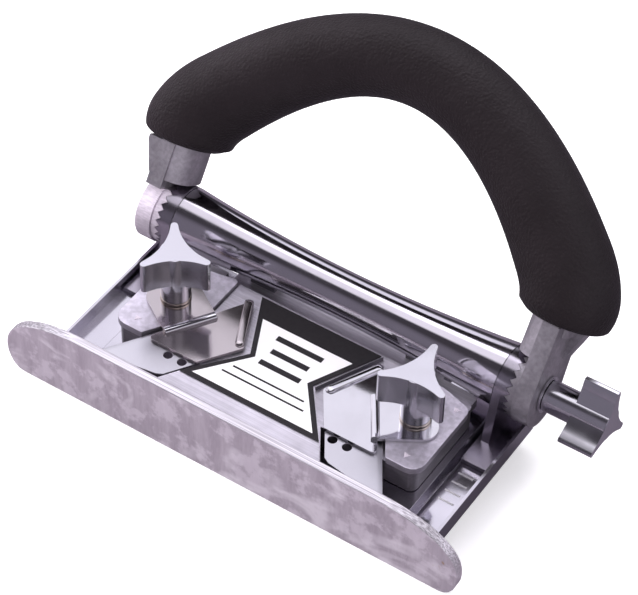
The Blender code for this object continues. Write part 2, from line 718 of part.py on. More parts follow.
def make_handle():
    """The lean of the handle is held by its empty; every piece in it is modelled upright about the pivot."""
    pivot = bpy.data.objects.new("handle_pivot", None)
    PARTS.objects.link(pivot)
    pivot.location = (0, PIVOT_Y * MM, PIVOT_Z * MM)
    pivot.rotation_euler = (-radians(HANDLE_LEAN), 0, 0)
    frame = handle_tube("handle_frame", GRIP_FOOT - 2, lambda x, h: CORE_RADIUS, 3, CAST, pivot)
    for side in (-1, 1):
        join(frame, *leg_parts(side, pivot))
    join(frame,
         plate("band_right", band_outline(True), DISC_INNER, DISC_OUTER, "YZ", parent=pivot),
         plate("band_left", band_outline(False), -DISC_OUTER, -DISC_INNER, "YZ", parent=pivot),
         block("jaw_key", (-111.5, -108.3), (-KEY_HALF_WIDTH, KEY_HALF_WIDTH), (KEY_BOTTOM, 20),
               parent=pivot),
         clutch_ring("leg_ring", DISC_INNER + 0.5, TOOTH_MIDDLE + GAP))
    cut(frame, cylinder("leg_bore", ROD_RADIUS + GAP, 95, 120, "X", (0, PIVOT_Y, PIVOT_Z)))
    grip = handle_tube("grip", GRIP_FOOT, grip_radius, 6, RUBBER, pivot)
    cut(grip, handle_tube("grip_core", GRIP_FOOT - 4, lambda x, h: CORE_RADIUS + GAP, 3, parent=pivot))
    for side in (-1, 1):
        cut(grip, plate("tenon_socket", tenon_outline(side, GAP), 30, TENON_TOP + GAP, parent=pivot))
    make_jaw(pivot)


def make_jaw(pivot):
    """The floating left jaw: a toothed disc with a flat top, keyed to the left leg."""
    top = sqrt(DISC_RADIUS ** 2 - JAW_FLAT ** 2)
    edge = atan2(JAW_FLAT, top) * 180 / pi
    outline = arc(0, 0, DISC_RADIUS, 180 - edge, 360 + edge, 30)
    jaw = plate("clutch_jaw_left", outline, -DISC_OUTER, -DISC_INNER, "YZ", CHROME, pivot)
    join(jaw, clutch_ring("jaw_ring", -DISC_INNER - 0.5, -TOOTH_MIDDLE - GAP))
    cut(jaw,
        block("jaw_top", (-120, -90), (-20, 20), (JAW_FLAT - 0.05, 30), parent=pivot),
        cylinder("jaw_bore", ROD_RADIUS + GAP, -120, -95, "X", (0, PIVOT_Y, PIVOT_Z)),
        cylinder("nut_recess", 7.9, -120, -107, "X", (0, 0, 0), 6, parent=pivot),
        block("keyway", (-113, -104.3), (-KEY_HALF_WIDTH - GAP, KEY_HALF_WIDTH + GAP),
              (KEY_BOTTOM - GAP, 20), parent=pivot))
    nut = cylinder("rod_nut", 7.4, -111.6, -107.3, "X", (0, 0, 0), 6, STEEL, pivot)
    cut(nut, cylinder("nut_bore", ROD_RADIUS + GAP, -120, -100, "X", (0, 0, 0), 20, parent=pivot))
    tip = ROD_RADIUS - 1.4
    rod = [(0, 138.5), (tip, 138.5), (ROD_RADIUS, 137), (ROD_RADIUS, -110.4), (tip, -111.8), (0, -111.8)]
    turned("pivot_rod", rod, "X", (0, 0, 0), 20, material=STEEL, parent=pivot)


def make_side_knob():
    at = (0, PIVOT_Y, PIVOT_Z)
    low, high = SIDE_WASHER
    bore = ROD_RADIUS + GAP
    washer = [(9.2, high), (9.2, low), (bore, low), (bore, high)]
    turned("side_washer", washer, "X", at, 32, bored=True, material=STEEL)
    knob = plate("side_knob", star_outline(SIDE_STAR_TURN), *SIDE_STAR, "YZ", CHROME)
    knob.location.y = PIVOT_Y * MM
    knob.location.z = PIVOT_Z * MM
    shank = [(0, SIDE_STAR[1] - 0.2), (SHANK_RADIUS, SIDE_STAR[1] - 0.2), (SHANK_RADIUS, high + GAP),
             (0, high + GAP)]
    join(knob, turned("side_knob_shank", shank, "X", at, 28))
    cut(knob, cylinder("side_knob_bore", bore, high - 4, 141, "X", at, 20))
    hang("side_knob_axis", at, knob)


# Base tray and sole

def slot(x, low, high, radius):
    """A slot outline along Y."""
    return arc(x, high, radius, 0, 180, 9) + arc(x, low, radius, 180, 360, 9)


def make_tray():
    half = [(TRAY_PLATFORM_HALF, TRAY_PLATFORM), (TRAY_STEP_FOOT, TRAY_FLOOR),
            (TRAY_HALF_WIDTH - TRAY_WALL, TRAY_FLOOR), (TRAY_HALF_WIDTH - TRAY_WALL, TRAY_WALL_TOP),
            (TRAY_HALF_WIDTH, TRAY_WALL_TOP), (TRAY_HALF_WIDTH, TRAY_FLOOR - TRAY_SHEET),
            (TRAY_STEP_FOOT - 1, TRAY_FLOOR - TRAY_SHEET),
            (TRAY_PLATFORM_HALF - 1, TRAY_PLATFORM - TRAY_SHEET)]
    tray = plate("base_tray", mirror_outline(half), TRAY_FRONT, TRAY_BACK, "XZ", CHROME)
    low, high = TRAY_TRAVEL
    for side in (-1, 1):
        corner = [(TRAY_FRONT - 1, 9.6), (TRAY_FRONT, 9.6)]
        corner += arc(TRAY_FRONT + 8, 9.6, 8, 180, 90, 7)[1:]
        corner += [(TRAY_FRONT + 8, 20), (TRAY_FRONT - 1, 20)]
        wall = sorted((side * 104, side * 109))
        cut(tray,
            plate("wall_corner", corner, *wall, "YZ"),
            plate("lock_slot", slot(side * LOCK_SCREW_X, -high, -low, 2.4), 5, 16),
            cylinder("sole_hole", SCREW_BORE, 5, 16, "Z", (side * SOLE_SCREW_X, 0, 0), 16))
    for k in range(MARK_COUNT):
        y = -MARK_PITCH * k
        cut(tray, block("scale_mark", (92.7, 101.2), (y - 0.3, y + 0.3), (TRAY_FLOOR - 0.3, TRAY_FLOOR + 1)))
    outline = rounded([(-SOLE_HALF_WIDTH, TRAY_FRONT, 5), (SOLE_HALF_WIDTH, TRAY_FRONT, 5),
                       (SOLE_HALF_WIDTH, TRAY_BACK, 5), (-SOLE_HALF_WIDTH, TRAY_BACK, 5)])
    slots = [slot(side * LOCK_SCREW_X, -high, -low, 4.8) for side in (-1, 1)]
    sole = plate("sole_plate", outline, 0, SOLE_TOP, material=CAST, holes=slots)
    for side, word in ((-1, "left"), (1, "right")):
        x = side * SOLE_SCREW_X
        cut(sole, cylinder("sole_tap", SCREW_BORE, 3, 16, "Z", (x, 0, 0), 16))
        screw("sole_screw_" + word, (x, 0, 0), "Z", 3.6, TRAY_PLATFORM + GAP, 15.6, SCREW_RADIUS, 3.6, 1.6)
        screw("lock_screw_" + word, (side * LOCK_SCREW_X, 0, 0), "Z", 20.4, 10.4, 7.2, SCREW_RADIUS, 4.2, 1.8)


make_rail()
make_head_casting()
make_label()
make_head_blocks()
make_studs()
make_head_screws()
make_blades()
make_clamps()
make_clamp_knob("clamp_knob_left", -STUD_X, LEFT_STAR_TURN)
make_clamp_knob("clamp_knob_right", STUD_X, RIGHT_STAR_TURN)
make_cross_bar()
make_ears()
make_handle()
make_side_knob()
make_tray()
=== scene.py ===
"""Looks for the carpet wall trimmer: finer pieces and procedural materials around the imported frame."""
import json
from math import cos, pi, radians, sin, sqrt

import bmesh
import bpy
from mathutils import Matrix, Vector


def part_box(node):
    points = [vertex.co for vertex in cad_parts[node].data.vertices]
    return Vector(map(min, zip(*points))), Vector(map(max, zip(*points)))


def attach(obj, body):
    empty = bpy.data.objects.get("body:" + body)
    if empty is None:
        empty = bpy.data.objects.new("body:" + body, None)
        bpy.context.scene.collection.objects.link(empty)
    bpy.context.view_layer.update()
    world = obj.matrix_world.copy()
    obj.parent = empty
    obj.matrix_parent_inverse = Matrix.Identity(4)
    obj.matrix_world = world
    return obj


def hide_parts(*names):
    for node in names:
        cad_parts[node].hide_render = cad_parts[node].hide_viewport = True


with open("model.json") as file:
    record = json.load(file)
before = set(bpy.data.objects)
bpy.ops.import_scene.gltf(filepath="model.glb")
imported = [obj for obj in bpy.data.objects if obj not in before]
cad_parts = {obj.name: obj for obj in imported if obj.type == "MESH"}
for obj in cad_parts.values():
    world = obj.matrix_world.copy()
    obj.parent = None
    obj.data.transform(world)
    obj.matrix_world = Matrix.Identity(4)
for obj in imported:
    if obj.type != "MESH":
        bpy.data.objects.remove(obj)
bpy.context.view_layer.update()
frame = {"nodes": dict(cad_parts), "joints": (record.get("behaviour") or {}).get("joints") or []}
NODES = frame["nodes"]

# Lengths below are in millimetres unless a comment says otherwise.
MM = 0.001
SIDES = (("left", -1), ("right", 1))
PIVOT = Vector(next(joint for joint in frame["joints"] if joint["name"] == "handle_tilt")["pos_m"])
HANDLE_LEAN = radians(34.0)
EDGE_TURN = radians(57.3)


# Node helpers

class Shader:
    """A material whose node tree is built by short calls. Its patterns are in object space, in metres."""

    def __init__(self, name):
        self.material = bpy.data.materials.new(name)
        self.material.use_nodes = True
        self.tree = self.material.node_tree
        self.principled = self.tree.nodes["Principled BSDF"]
        self.place = self.node("ShaderNodeTexCoord").outputs["Object"]

    def node(self, kind, inputs=None, **settings):
        """A new node. Inputs are values or the sockets that feed them."""
        node = self.tree.nodes.new(kind)
        for key, value in settings.items():
            setattr(node, key, value)
        for key, value in (inputs or {}).items():
            self.feed(node, key, value)
        return node

    def feed(self, node, key, value):
        socket = node.inputs[key]
        if isinstance(value, bpy.types.NodeSocket):
            self.tree.links.new(value, socket)
        else:
            socket.default_value = value

    def set(self, **values):
        """Sets or feeds inputs of the Principled BSDF, with _ for each space in their names."""
        for key, value in values.items():
            self.feed(self.principled, key.replace("_", " "), value)

    def stretched(self, scale):
        """Object coordinates scaled by a different amount on each axis."""
        mapping = self.node("ShaderNodeMapping", {"Vector": self.place, "Scale": scale})
        return mapping.outputs["Vector"]

    def noise(self, scale, detail=3.0, roughness=0.55, place=None, distortion=0.0):
        node = self.node("ShaderNodeTexNoise", {
            "Vector": place or self.place, "Scale": scale, "Detail": detail, "Roughness": roughness,
            "Distortion": distortion})
        return node.outputs["Fac"]

    def streaks(self, scale, detail=2.0, roughness=0.5, distortion=0.0):
        """Noise drawn out by a different scale on each axis."""
        return self.noise(1.0, detail, roughness, self.stretched(scale), distortion)

    def ramp(self, factor, *stops):
        """A colour ramp of (position, colour or grey) stops."""
        node = self.node("ShaderNodeValToRGB", {"Fac": factor})
        elements = node.color_ramp.elements
        while len(elements) < len(stops):
            elements.new(1.0)
        for element, (position, value) in zip(elements, stops):
            element.position = position
            element.color = (*value, 1) if isinstance(value, tuple) else (value, value, value, 1)
        return node.outputs["Color"]

    def mix(self, factor, a, b):
        """A colour from a, at factor 0, to b, at factor 1."""
        node = self.node("ShaderNodeMix", data_type="RGBA")
        self.feed(node, 0, factor)
        for key, value in ((6, a), (7, b)):
            self.feed(node, key, (*value, 1) if isinstance(value, tuple) else value)
        return node.outputs[2]

    def math(self, operation, a, b=0.0):
        node = self.node("ShaderNodeMath", operation=operation)
        self.feed(node, 0, a)
        self.feed(node, 1, b)
        return node.outputs[0]

    def bump(self, height, strength, distance, under=None):
        """A bumped normal, on top of another one where that is given."""
        node = self.node("ShaderNodeBump", {"Height": height, "Strength": strength, "Distance": distance})
        if under:
            self.feed(node, "Normal", under)
        return node.outputs["Normal"]

    def axis(self, name):
        """One object coordinate."""
        return self.node("ShaderNodeSeparateXYZ", {"Vector": self.place}).outputs[name]

    def facing(self, name):
        """One component of the surface normal."""
        normal = self.node("ShaderNodeNewGeometry").outputs["Normal"]
        return self.node("ShaderNodeSeparateXYZ", {"Vector": normal}).outputs[name]


def shade(colour, share):
    """A colour made darker or lighter by a share, kept within full brightness."""
    return tuple(min(c * share, 1) for c in colour)


# Materials

# Painted shade: the dark colour that the upright faces of some castings are pulled towards.
FLANK_PAINTED_SHADE = (0.035, 0.030, 0.036)
RUST = (0.35, 0.22, 0.12)
RUST_FROM_X = 0.116  # metres
RUST_FULL_X = 0.119


def chrome_material(name, tint=(0.80, 0.79, 0.83), smooth=0.06, rough=0.16, scratch=(900, 900, 900),
                    wave=0.10):
    """Polished plating: almost a mirror, with faint smudges, hairline scratches and slow waviness."""
    s = Shader(name)
    smudge = s.noise(38.0, 4.0, 0.6)
    hairs = s.streaks(scratch)
    s.set(Base_Color=s.mix(s.ramp(smudge, (0.35, 0.0), (0.8, 1.0)), tint, shade(tint, 0.90)),
          Metallic=1.0, Roughness=s.ramp(smudge, (0.42, smooth), (0.72, rough)))
    waves = s.bump(s.noise(16.0, 1.0), wave, 0.004)
    s.set(Normal=s.bump(hairs, 0.012, 0.0002, waves))
    return s.material


def cast_material(name, tint, rough=0.34, marks=(500, 500, 500), flank_light=1.0, metal=0.7, contrast=0.26):
    """Satin casting: lavender grey, mottled, with tool marks. A flank setting below 1 paints shade onto
    its upright faces, darkening them as if they stood in shadow.
    """
    s = Shader(name)
    cloud = s.noise(55.0, 5.0, 0.6)
    speck = s.noise(620.0, 3.0, 0.6)
    lines = s.streaks(marks)
    mottle = s.ramp(cloud, (0.36, 0.0), (0.66, 1.0))
    colour = s.mix(mottle, shade(tint, 1 - contrast), shade(tint, 1 + contrast))
    colour = s.mix(s.ramp(lines, (0.38, 0.30), (0.60, 0.0)), colour, shade(tint, 0.5))
    # Painted shade: upright faces are darkened, standing in for the shadow on the casting's sides.
    upright = s.ramp(s.math("ABSOLUTE", s.facing("Z")), (0.25, 1.0), (0.6, 0.0))
    colour = s.mix(upright, colour, s.mix(1.0 - flank_light, colour, FLANK_PAINTED_SHADE))
    s.set(Base_Color=colour, Metallic=metal,
          Roughness=s.ramp(cloud, (0.3, rough + 0.08), (0.75, rough - 0.05)))
    s.set(Normal=s.bump(speck, 0.20, 0.0002, s.bump(lines, 0.25, 0.0003, s.bump(cloud, 0.10, 0.0012))))
    return s.material


def rail_material():
    """Ground steel: upright streaks, blots, worn patches, a rust spot at one end and a brighter crown,
    whose grinding grain is real and whose extra brightness on the upward faces is a painted highlight.
    """
    s = Shader("rail_ground_steel")
    streak = s.streaks((230, 60, 38), 5.0, 0.65)
    patch = s.streaks((30, 14, 46), 3.0, 0.55, 0.6)
    grit = s.noise(1400.0, 2.0, 0.6)
    base = s.mix(s.ramp(streak, (0.36, 0.0), (0.66, 1.0)), (0.42, 0.365, 0.425), (0.55, 0.49, 0.555))
    blot = s.noise(95.0, 4.0, 0.62)
    mottled = s.mix(s.ramp(blot, (0.50, 0.0), (0.60, 0.55)), base, (0.76, 0.69, 0.77))
    worn = s.mix(s.ramp(patch, (0.52, 0.0), (0.66, 0.8)), mottled, (0.84, 0.78, 0.85))
    rust = s.ramp(s.noise(150.0, 2.0), (0.70, 0.0), (0.76, 1.0))
    spot = s.math("MULTIPLY", rust, s.ramp(s.axis("X"), (RUST_FROM_X, 0.0), (RUST_FULL_X, 1.0)))
    # Painted highlight: upward faces take a much lighter colour over the grinding grain; they also get
    # more metal and less roughness.
    top = s.ramp(s.facing("Z"), (0.05, 0.0), (0.65, 1.0))
    grain = s.ramp(s.streaks((10, 1500, 1500)), (0.36, 0.0), (0.62, 1.0))
    crown = s.mix(grain, (0.42, 0.39, 0.43), (0.88, 0.85, 0.90))
    s.set(Base_Color=s.mix(top, s.mix(spot, worn, RUST), crown),
          Metallic=s.ramp(top, (0.0, 0.25), (1.0, 0.8)), Roughness=s.ramp(top, (0.0, 0.50), (1.0, 0.34)))
    s.set(Normal=s.bump(grit, 0.16, 0.0002, s.bump(streak, 0.22, 0.0003)))
    return s.material


def blade_material():
    """Ground blade steel: cloudy satin with fine grinding marks."""
    s = Shader("blade_ground_steel")
    cloud = s.noise(60.0, 4.0, 0.6)
    lines = s.streaks((1200, 240, 900), 3.0, 0.6)
    s.set(Base_Color=s.mix(cloud, (0.62, 0.61, 0.66), (0.80, 0.79, 0.83)), Metallic=1.0,
          Roughness=s.ramp(cloud, (0.35, 0.34), (0.7, 0.44)))
    s.set(Normal=s.bump(lines, 0.10, 0.0002))
    return s.material


def rubber_material():
    """Black padded sleeve: fine leathery grain and a soft sheen that varies slowly."""
    s = Shader("grip_black_rubber")
    grain = s.node("ShaderNodeTexVoronoi", {"Vector": s.place, "Scale": 800.0}, feature="SMOOTH_F1")
    pores = s.noise(1400.0, 3.0, 0.6)
    cloud = s.noise(22.0, 4.0, 0.6)
    dusty = s.ramp(cloud, (0.4, 0.0), (0.75, 1.0))
    s.set(Base_Color=s.mix(dusty, (0.0135, 0.0102, 0.0115), (0.020, 0.0155, 0.0175)),
          Roughness=s.ramp(cloud, (0.3, 0.56), (0.7, 0.46)), Specular_IOR_Level=0.30)
    s.set(Normal=s.bump(pores, 0.45, 0.0005, s.bump(grain.outputs["Distance"], 0.55, 0.0008)))
    return s.material


def enamel_material(name, colour, rough=0.30):
    """Printed enamel with a faint orange peel."""
    s = Shader(name)
    peel = s.noise(420.0, 2.0)
    s.set(Base_Color=s.mix(s.noise(90.0, 3.0), colour, shade(colour, 0.95)),
          Roughness=s.ramp(peel, (0.3, rough), (0.8, rough + 0.08)), Coat_Weight=0.15)
    s.set(Normal=s.bump(peel, 0.04, 0.0002))
    return s.material


CHROME = chrome_material("polished_chrome", wave=0.40)
BAR_CHROME = chrome_material("bar_chrome", (0.74, 0.71, 0.77), 0.09, 0.19, (30, 900, 900), 0.05)
TRAY_CHROME = chrome_material("tray_chrome", (0.72, 0.70, 0.76), 0.08, 0.22, (300, 700, 900), 0.6)
KNOB_CHROME = chrome_material("knob_chrome", (0.80, 0.79, 0.84), 0.14, 0.28, (500, 500, 800), 0.22)
EAR_CHROME = chrome_material("ear_chrome", (0.52, 0.49, 0.55), 0.16, 0.30, (700, 700, 700))
WASHER_CHROME = chrome_material("washer_warm_chrome", (0.80, 0.72, 0.64), 0.10, 0.22)
# Painted shade: a darker copy of the clamp chrome for the left clamp and its lip.
SHADED_LEFT_CHROME = chrome_material("clamp_left_painted_shade_chrome", (0.60, 0.55, 0.56), 0.10, 0.20, (300, 300, 300), 0.45)
STEEL = chrome_material("dull_fastener_steel", (0.34, 0.31, 0.31), 0.22, 0.38)
CAST = cast_material("satin_casting", (0.39, 0.365, 0.405))
JAW_CAST = cast_material("machined_casting", (0.74, 0.67, 0.76), 0.42, (300, 1400, 1400), metal=0.3)
# The head casting (0.24) and the blocks (0.5) get painted shade on their upright faces.
HEAD_CAST = cast_material("head_satin_casting", (0.66, 0.63, 0.70), 0.32, (9, 1300, 1300), 0.24,
                          contrast=0.10)
BLOCK_CAST = cast_material("block_satin_casting", (0.66, 0.62, 0.71), 0.32, (400, 400, 1500), 0.5)
RAIL = rail_material()
BLADE = blade_material()
RUBBER = rubber_material()
BLACK = enamel_material("label_black", (0.010, 0.008, 0.010), 0.62)
WHITE = enamel_material("label_white", (0.87, 0.86, 0.88))
# Painted highlight: plain white standing in for the shine of the scale's embossed lines.
SCALE_HIGHLIGHT_WHITE = enamel_material("scale_painted_highlight", (0.80, 0.78, 0.82))


# Mesh helpers

SMOOTH_ANGLE = radians(38)
SHARP_ANGLE = radians(32)
FLAT_ANGLE = radians(0.8)
WELD_DISTANCE = 0.002


def smooth_by_angle(angle):
    """A node group that shades smooth, except over edges sharper than the angle."""
    group = bpy.data.node_groups.new("smooth_by_angle", "GeometryNodeTree")
    group.interface.new_socket("Geometry", in_out="INPUT", socket_type="NodeSocketGeometry")
    group.interface.new_socket("Geometry", in_out="OUTPUT", socket_type="NodeSocketGeometry")
    new = group.nodes.new
    link = group.links.new
    faces = new("GeometryNodeSetShadeSmooth")
    edges = new("GeometryNodeSetShadeSmooth")
    edges.domain = "EDGE"
    compare = new("FunctionNodeCompare")
    compare.operation = "LESS_THAN"
    compare.inputs[1].default_value = angle
    link(new("GeometryNodeInputMeshEdgeAngle").outputs[0], compare.inputs[0])
    link(new("NodeGroupInput").outputs[0], faces.inputs[0])
    link(faces.outputs[0], edges.inputs[0])
    link(compare.outputs[0], edges.inputs["Shade Smooth"])
    link(edges.outputs[0], new("NodeGroupOutput").inputs[0])
    return group


SMOOTH = smooth_by_angle(SMOOTH_ANGLE)


def finish_edges(obj, width, segments=2):
    """Welds, merges flat facets, rounds the sharp edges and shades what is left smoothly."""
    weld = obj.modifiers.new("weld", "WELD")
    weld.merge_threshold = WELD_DISTANCE * MM
    flat = obj.modifiers.new("merge_flats", "DECIMATE")
    flat.decimate_type = "DISSOLVE"
    flat.angle_limit = FLAT_ANGLE
    if width:
        bevel = obj.modifiers.new("edge_round", "BEVEL")
        bevel.width = width * MM
        bevel.segments = segments
        bevel.limit_method = "ANGLE"
        bevel.angle_limit = SHARP_ANGLE
    obj.modifiers.new("shade", "NODES").node_group = SMOOTH
    flats = obj.modifiers.new("keep_flats_flat", "WEIGHTED_NORMAL")
    flats.keep_sharp = True
    flats.weight = 100


def new_piece(name, work, body, material):
    """A new mesh object made from a bmesh, riding on a body."""
    mesh = bpy.data.meshes.new(name)
    bmesh.ops.recalc_face_normals(work, faces=work.faces)
    work.to_mesh(mesh)
    work.free()
    obj = bpy.data.objects.new(name, mesh)
    bpy.context.scene.collection.objects.link(obj)
    mesh.materials.append(material)
    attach(obj, body)
    return obj


def bridge(work, below, above):
    """Joins two closed rings of vertices with faces."""
    count = len(below)
    for i in range(count):
        j = (i + 1) % count
        work.faces.new((below[i], below[j], above[j], above[i]))


def skin(work, rings):
    """Joins a row of rings and caps both ends."""
    for below, above in zip(rings, rings[1:]):
        bridge(work, below, above)
    work.faces.new(rings[0][::-1])
    work.faces.new(rings[-1])


def extrude_outline(work, outline, low, high, inset=0.0):
    """Adds an upright prism over a plan outline; its top edge is chamfered by the inset."""
    centre = Vector((sum(p[0] for p in outline), sum(p[1] for p in outline))) / len(outline)

    def ring(height, pull):
        points = []
        for x, y in outline:
            away = Vector((x, y)) - centre
            place = centre + away * (1 - pull / away.length)
            points.append(work.verts.new((place.x * MM, place.y * MM, height * MM)))
        return points

    rings = [ring(low, 0.0), ring(high - inset, 0.0)]
    if inset:
        rings.append(ring(high, inset))
    skin(work, rings)


def sweep(work, stations, section):
    """Sweeps a closed section of points (across, up) along stations of (place, across, up, scale)."""
    skin(work, [[work.verts.new((place + across * a * scale + up * b * scale) * MM) for a, b in section]
                for place, across, up, scale in stations])


def ridge_section(width, lift, height, fullness, foot, steps):
    """A rounded ridge, its crown rising from lift, with straight walls down to a foot."""
    half = width / 2
    turns = [pi * k / steps for k in range(steps + 1)]
    crown = [(half * cos(t), lift + height * sin(t) ** fullness) for t in turns]
    return crown + [(-half, foot), (half, foot)]


def rectangle(left, right, front, back):
    return ((left, front), (right, front), (right, back), (left, back))


def inset_outline(outline, amount):
    """Moves every side of an outline inward by an amount."""
    count = len(outline)
    points = [Vector(p) for p in outline]
    area = sum(points[i - 1].cross(points[i]) for i in range(count))
    turn = 1 if area > 0 else -1
    result = []
    for i in range(count):
        before = (points[i] - points[i - 1]).normalized()
        after = (points[(i + 1) % count] - points[i]).normalized()
        inward = Vector((-before.y - after.y, before.x + after.x)) * turn
        result.append(points[i] + inward * amount / (1 + before.dot(after)))
    return result


def edge_place(side, n, m):
    """The place of a point across (n) and along (m) a blade's edge line."""
    x = n * sin(EDGE_TURN) - m * cos(EDGE_TURN)
    y = n * cos(EDGE_TURN) + m * sin(EDGE_TURN)
    return Vector((side * x, y, 0))


def underside(node):
    """Height of a node's lowest point."""
    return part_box(node)[0].z / MM


def top_of(node):
    """Height of a node's highest point."""
    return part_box(node)[1].z / MM


# Grip sleeve: x and height above the pivot, in the handle's own upright plane

GRIP_FOOT = 36.1
GRIP_FOOT_X = 107.2
GRIP_STRAIGHT = 38.0
GRIP_SHOULDER = 64.0
GRIP_TOP = 117.0
GRIP_CURVE = 169.0
GRIP_TOP_RADIUS = 19.4
GRIP_SIDE_RADIUS = 23.6
GRIP_FOOT_TAPER = 3.2
GRIP_FOOT_TAPER_HEIGHT = 10.0
GRIP_END_ROUND = 2.4
GRIP_END_STEPS = 6
GRIP_LEG_STEPS = 26
GRIP_ARCH_STEP = 3.0
GRIP_SIDES = 72
BORE_FOOT_RADIUS = 12.6
BORE_FOOT_HEIGHT = 46.5
BORE_RADIUS = 8.4


def grip_half_width(height):
    """Half width of the handle's centreline at a height, up to the shoulder."""
    drawn_in = GRIP_FOOT_X - sqrt(GRIP_CURVE * (GRIP_TOP - GRIP_SHOULDER))
    bent = max(height - GRIP_STRAIGHT, 0) / (GRIP_SHOULDER - GRIP_STRAIGHT)
    return GRIP_FOOT_X - drawn_in * bent ** 2


def grip_radius(x, height):
    """Outer radius: thicker at the sides than on top, drawn in near the foot and rolled at its end."""
    full = GRIP_TOP_RADIUS + (GRIP_SIDE_RADIUS - GRIP_TOP_RADIUS) * (x / GRIP_FOOT_X) ** 2
    above_foot = height - GRIP_FOOT
    taper = GRIP_FOOT_TAPER * max(1 - above_foot / GRIP_FOOT_TAPER_HEIGHT, 0) ** 2
    into_roll = max(GRIP_END_ROUND - above_foot, 0)
    rolled = GRIP_END_ROUND - sqrt(max(GRIP_END_ROUND ** 2 - into_roll ** 2, 0))
    return full - taper - rolled


def bore_radius(x, height):
    """Inner radius, wider round the foot of each leg."""
    return BORE_FOOT_RADIUS if height < BORE_FOOT_HEIGHT else BORE_RADIUS


def grip_line():
    """Points (x, height) of the centreline from the right foot over the arch to the left foot."""
    roll_top = GRIP_FOOT + GRIP_END_ROUND
    leg_step = (GRIP_SHOULDER - roll_top) / GRIP_LEG_STEPS
    heights = [roll_top - GRIP_END_ROUND * cos(pi / 2 * k / GRIP_END_STEPS) for k in range(GRIP_END_STEPS)]
    heights += [roll_top + leg_step * k for k in range(GRIP_LEG_STEPS + 1)]
    right = [(grip_half_width(h), h) for h in heights]
    x = right[-1][0] - GRIP_ARCH_STEP
    while x > GRIP_ARCH_STEP / 2:
        right.append((x, GRIP_TOP - x ** 2 / GRIP_CURVE))
        x -= GRIP_ARCH_STEP
    return right + [(0, GRIP_TOP)] + [(-x, h) for x, h in right[::-1]]


def grip_ring(work, line, i, radius_at):
    """A ring of vertices square to the centreline at one of its points."""
    x, height = line[i]
    before, after = line[max(i - 1, 0)], line[min(i + 1, len(line) - 1)]
    along = Vector((after[0] - before[0], 0, after[1] - before[1])).normalized()
    across = Vector((along.z, 0, -along.x))
    back = Vector((0, 1, 0))
    centre = Vector((x, 0, height))
    radius = radius_at(x, height)
    turns = [2 * pi * k / GRIP_SIDES for k in range(GRIP_SIDES)]
    return [work.verts.new((centre + (across * cos(t) + back * sin(t)) * radius) * MM) for t in turns]


def make_grip():
    """A hollow sleeve with rolled ends, sitting where the plain grip node is."""
    line = grip_line()
    work = bmesh.new()
    rings = [grip_ring(work, line, i, grip_radius) for i in range(len(line))]
    rings += [grip_ring(work, line, i, bore_radius) for i in reversed(range(len(line)))]
    for below, above in zip(rings, rings[1:] + rings[:1]):
        bridge(work, below, above)
    place = Matrix.Translation(PIVOT) @ Matrix.Rotation(-HANDLE_LEAN, 4, "X")
    bmesh.ops.transform(work, matrix=place, verts=work.verts)
    grip = new_piece("grip_sleeve", work, "handle", RUBBER)
    grip.data.shade_smooth()
    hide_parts("grip")


# Label

LABEL_OUTLINE = ((-39.2, -37.4), (-17.8, -10.0), (-34.2, 24.0), (34.2, 24.0), (17.8, -10.0), (39.2, -37.4))
LABEL_BORDER = 2.6
LABEL_TOP_BAND = 12.0
LABEL_GAP = 0.01
LABEL_PANEL_TOP = 0.12
LABEL_RULE_BOTTOM = 0.11
LABEL_RULE_TOP = 0.16
# Each rule's middle, half length and thickness.
LABEL_RULES = ((5.5, 13.0, 3.2), (-3.0, 10.5, 3.2), (-11.5, 11.5, 3.2), (-21.0, 20.0, 1.1),
               (-26.0, 23.0, 1.1))


def panel_outline():
    """The label's outline inside its border, with its back corners brought forward to the top band."""
    panel = inset_outline(LABEL_OUTLINE, LABEL_BORDER)
    limit = LABEL_OUTLINE[2][1] - LABEL_TOP_BAND
    for back, waist in ((2, 1), (3, 4)):
        share = (limit - panel[waist].y) / (panel[back].y - panel[waist].y)
        panel[back] = panel[waist].lerp(panel[back], share)
    return panel


def make_label():
    """A white panel inside the plate's black border, and plain ruled lines in place of lettering."""
    plate = top_of("label_plate")
    work = bmesh.new()
    extrude_outline(work, panel_outline(), plate + LABEL_GAP, plate + LABEL_PANEL_TOP)
    new_piece("label_panel", work, "frame", WHITE)
    work = bmesh.new()
    for middle, half, thick in LABEL_RULES:
        outline = rectangle(-half, half, middle - thick / 2, middle + thick / 2)
        extrude_outline(work, outline, plate + LABEL_RULE_BOTTOM, plate + LABEL_RULE_TOP)
    new_piece("label_rules", work, "frame", BLACK)


# Finger lips and folds of the clamps

LIP_LINE = ((22.6, -8.5), (36.2, 20.5))
LIP_WIDTH = 4.6
LIP_SECTION = ridge_section(LIP_WIDTH, 0.15, 1.2, 0.5, -0.9, 16)
LIP_SEAT = 1.6
LIP_END = 2.4
LIP_TIP_SCALE = 0.1414
LIP_STEPS = 24
FOLD_N = 38.6
FOLD_M = (-50.2, -23.7)
FOLD_SECTION = ridge_section(4.2, -0.2, 1.25, 1.0, -1.9, 12)
FOLD_STEPS = 6
UP = Vector((0, 0, 1))


